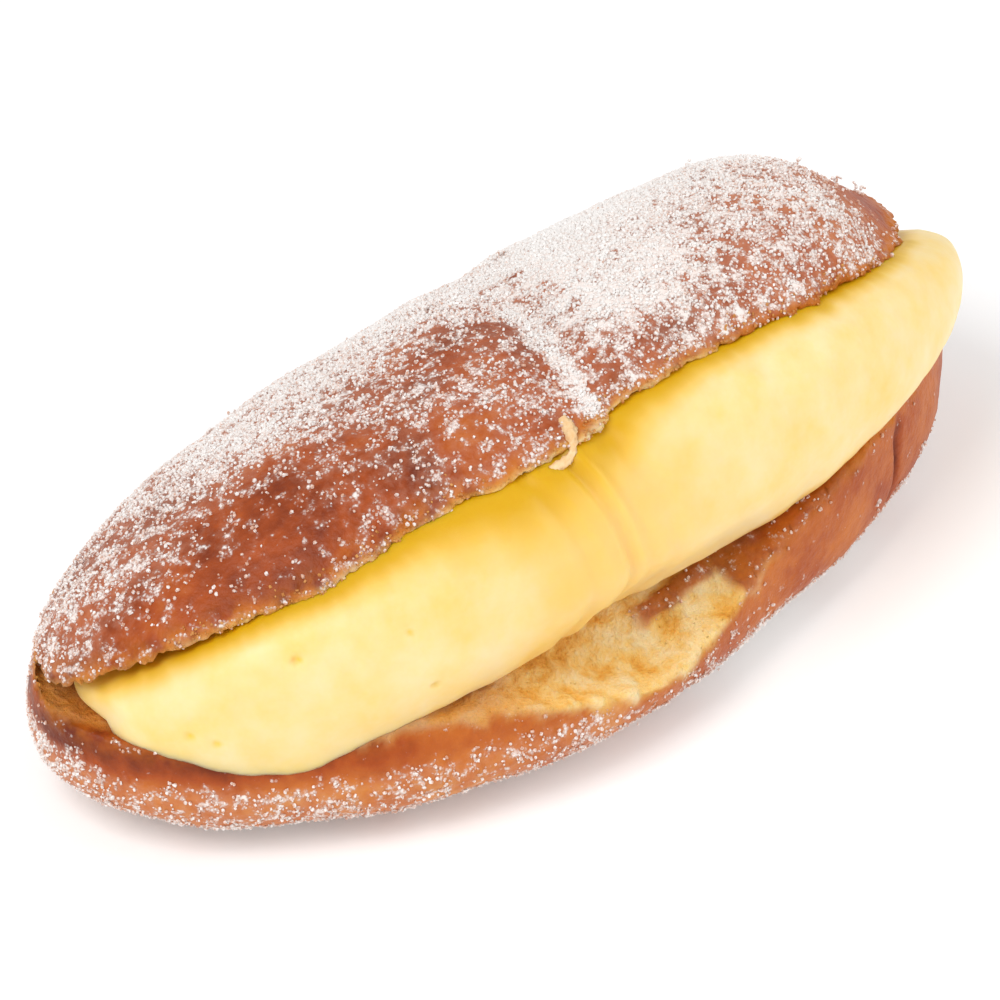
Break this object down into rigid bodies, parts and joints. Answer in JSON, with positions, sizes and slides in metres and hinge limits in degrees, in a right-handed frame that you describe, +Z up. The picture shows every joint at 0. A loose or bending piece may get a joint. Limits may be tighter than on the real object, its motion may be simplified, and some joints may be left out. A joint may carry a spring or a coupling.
{
  "type": "custard-filled bun",
  "caption": "Long sugared sweet bun, slit along one side, hinged open along its back and filled with a fat roll of custard.",
  "frame": {"origin": "middle of the bun's bounding box, on the surface that it rests on", "axes": "+X along the bun to its right end as the opening is faced, +Y from the opening to the hinge of crust at the back, +Z up"},
  "size_m": [0.1582, 0.072, 0.0554],
  "materials": {
    "crust": "browned, slightly shiny soft crust with white sugar",
    "custard": "smooth moist custard"
  },
  "bodies": {
    "root": {"bun": "crust", "custard": "custard"}
  },
  "joints": []
}
